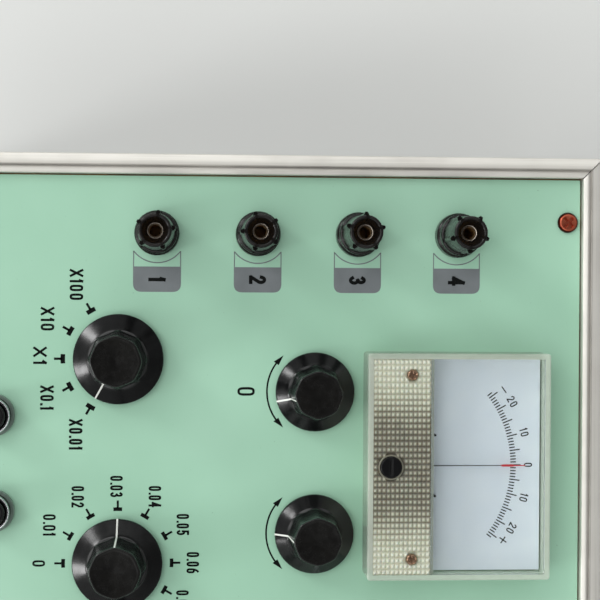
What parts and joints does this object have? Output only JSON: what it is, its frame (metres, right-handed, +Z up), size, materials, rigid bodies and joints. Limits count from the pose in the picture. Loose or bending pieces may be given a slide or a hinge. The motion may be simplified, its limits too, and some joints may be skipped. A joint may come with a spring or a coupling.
{
  "type": "portable resistance bridge with galvanometer",
  "caption": "Flat bench case with a green panel, screw-cap terminal posts, skirted knobs, push buttons and a centre-zero needle meter, for comparing low resistances.",
  "frame": {"origin": "middle of the ground plane under the feet", "axes": "+X to the panel's right, +Y to its back edge, +Z up out of the panel"},
  "size_m": [0.3, 0.275, 0.1395],
  "materials": {
    "case_skin": "fine grain",
    "rim_metal": "brushed along its length",
    "rubber": "matt",
    "plated_steel": "bright plating",
    "handle_black": "satin",
    "batten_wood": "bare",
    "panel_paint": "smooth satin enamel",
    "screw_red": "coppery passivation",
    "black_moulding": "polished",
    "brass": "machined",
    "phenolic": "laminate",
    "steel": "turned",
    "dial_metal": "satin anodised",
    "clear_moulding": "clear acrylic, patterned front band",
    "scale_white": "matt enamel",
    "magnet_paint": "enamel",
    "iron": "machined",
    "copper": "enamelled winding",
    "needle_red": "matt",
    "box_black": "moulded",
    "cell_wrap": "printed sleeve, bare of text",
    "board_green": "solder mask"
  },
  "bodies": {
    "case": {"floor_panel": "case_skin", "case_walls": "case_skin", "rim_frame": "rim_metal", "edge_angles": "rim_metal", "rubber_feet": "rubber", "handle_brackets": "plated_steel", "panel_battens": "batten_wood", "panel": "panel_paint", "panel_screws": "screw_red", "post_bushes": "black_moulding", "post_studs": "brass", "rotary_switches": "phenolic", "pots": "steel", "slide_wire": "phenolic", "shaft_nuts": "plated_steel", "meter_base": "black_moulding", "meter_cover": "clear_moulding", "scale_plate": "scale_white", "cover_screws": "steel", "meter_studs": "brass", "magnet": "magnet_paint", "pole_pieces": "iron", "bearing_bridges": "brass", "button_housings": "plated_steel", "button_b_spring": "steel", "button_g_spring": "steel", "power_switch": "plated_steel", "outer_sockets": "black_moulding", "battery_box": "box_black", "battery_cells": "cell_wrap", "amplifier_board": "board_green"},
    "c1_clamp": {"c1_washer": "plated_steel"},
    "c1_head": {"c1_cap": "black_moulding"},
    "p1_clamp": {"p1_washer": "plated_steel"},
    "p1_head": {"p1_cap": "black_moulding"},
    "p2_clamp": {"p2_washer": "plated_steel"},
    "p2_head": {"p2_cap": "black_moulding"},
    "c2_clamp": {"c2_washer": "plated_steel"},
    "c2_head": {"c2_cap": "black_moulding"},
    "range_control": {"range_knob": "black_moulding", "range_shaft": "steel"},
    "step_control": {"step_knob": "black_moulding", "step_shaft": "steel"},
    "zero_control": {"zero_knob": "black_moulding", "zero_shaft": "steel"},
    "sens_control": {"sens_knob": "black_moulding", "sens_shaft": "steel"},
    "slide_control": {"slide_knob": "black_moulding", "slide_dial": "dial_metal", "slide_shaft": "steel"},
    "movement": {"moving_coil": "copper", "needle": "needle_red", "staffs": "steel", "hairsprings": "brass"},
    "adjuster": {"zero_adjuster": "black_moulding"},
    "push_b": {"button_b": "black_moulding"},
    "push_g": {"button_g": "black_moulding"},
    "power": {"power_lever": "plated_steel"},
    "handle": {"handle_bail": "handle_black"}
  },
  "joints": [
    {"name": "c1_lift", "type": "slide", "parent": "case", "child": "c1_clamp", "axis": [0, 0, 1], "range_m": [0, 0.003]},
    {"name": "c1_turn", "type": "hinge", "parent": "c1_clamp", "child": "c1_head", "pos_m": [-0.1217, -0.0335, 0.1157], "axis": [0, 0, 1], "range_deg": [0, 1080]},
    {"name": "p1_lift", "type": "slide", "parent": "case", "child": "p1_clamp", "axis": [0, 0, 1], "range_m": [0, 0.003]},
    {"name": "p1_turn", "type": "hinge", "parent": "p1_clamp", "child": "p1_head", "pos_m": [-0.1217, 0.0025, 0.1157], "axis": [0, 0, 1], "range_deg": [0, 1080]},
    {"name": "p2_lift", "type": "slide", "parent": "case", "child": "p2_clamp", "axis": [0, 0, 1], "range_m": [0, 0.003]},
    {"name": "p2_turn", "type": "hinge", "parent": "p2_clamp", "child": "p2_head", "pos_m": [-0.1217, 0.0385, 0.1157], "axis": [0, 0, 1], "range_deg": [0, 1080]},
    {"name": "c2_lift", "type": "slide", "parent": "case", "child": "c2_clamp", "axis": [0, 0, 1], "range_m": [0, 0.003]},
    {"name": "c2_turn", "type": "hinge", "parent": "c2_clamp", "child": "c2_head", "pos_m": [-0.1217, 0.0745, 0.1157], "axis": [0, 0, 1], "range_deg": [0, 1080]},
    {"name": "range_turn", "type": "hinge", "parent": "case", "child": "range_control", "pos_m": [-0.0767, -0.047, 0.1085], "axis": [0, 0, 1], "range_deg": [-120, 0]},
    {"name": "step_turn", "type": "hinge", "parent": "case", "child": "step_control", "pos_m": [-0.0037, -0.047, 0.1085], "axis": [0, 0, 1], "range_deg": [-210, 90]},
    {"name": "zero_turn", "type": "hinge", "parent": "case", "child": "zero_control", "pos_m": [-0.0652, 0.0233, 0.1085], "axis": [0, 0, 1], "range_deg": [-150, 150]},
    {"name": "sens_turn", "type": "hinge", "parent": "case", "child": "sens_control", "pos_m": [-0.0142, 0.0233, 0.1085], "axis": [0, 0, 1], "range_deg": [-150, 150]},
    {"name": "slide_turn", "type": "hinge", "parent": "case", "child": "slide_control", "pos_m": [0.0758, -0.047, 0.1085], "axis": [0, 0, 1], "range_deg": [-150, 150]},
    {"name": "needle_swing", "type": "hinge", "parent": "case", "child": "movement", "pos_m": [-0.0397, 0.0527, 0.1085], "axis": [0, 0, 1], "range_deg": [-38, 38], "stiffness_Nm_per_rad": 0.00001},
    {"name": "adjuster_turn", "type": "hinge", "parent": "case", "child": "adjuster", "pos_m": [-0.0397, 0.0492, 0.1245], "axis": [0, 0, 1], "range_deg": [-45, 45]},
    {"name": "press_b", "type": "slide", "parent": "case", "child": "push_b", "axis": [0, 0, -1], "range_m": [0, 0.003], "stiffness_N_per_m": 300, "springref_m": -0.002, "deforming": ["button_b_spring"]},
    {"name": "press_g", "type": "slide", "parent": "case", "child": "push_g", "axis": [0, 0, -1], "range_m": [0, 0.003], "stiffness_N_per_m": 300, "springref_m": -0.002, "deforming": ["button_g_spring"]},
    {"name": "power_flip", "type": "hinge", "parent": "case", "child": "power", "pos_m": [0.0378, 0.0317, 0.1095], "axis": [-1, 0, 0], "range_deg": [0, 24]},
    {"name": "handle_fold", "type": "hinge", "parent": "case", "child": "handle", "pos_m": [0, -0.1321, 0.08], "axis": [-1, 0, 0], "range_deg": [0, 90]}
  ],
  "couplings": [
    {"joint": "c1_turn", "follows": "c1_lift", "rad_per_m": 6283.2},
    {"joint": "p1_turn", "follows": "p1_lift", "rad_per_m": 6283.2},
    {"joint": "p2_turn", "follows": "p2_lift", "rad_per_m": 6283.2},
    {"joint": "c2_turn", "follows": "c2_lift", "rad_per_m": 6283.2}
  ]
}
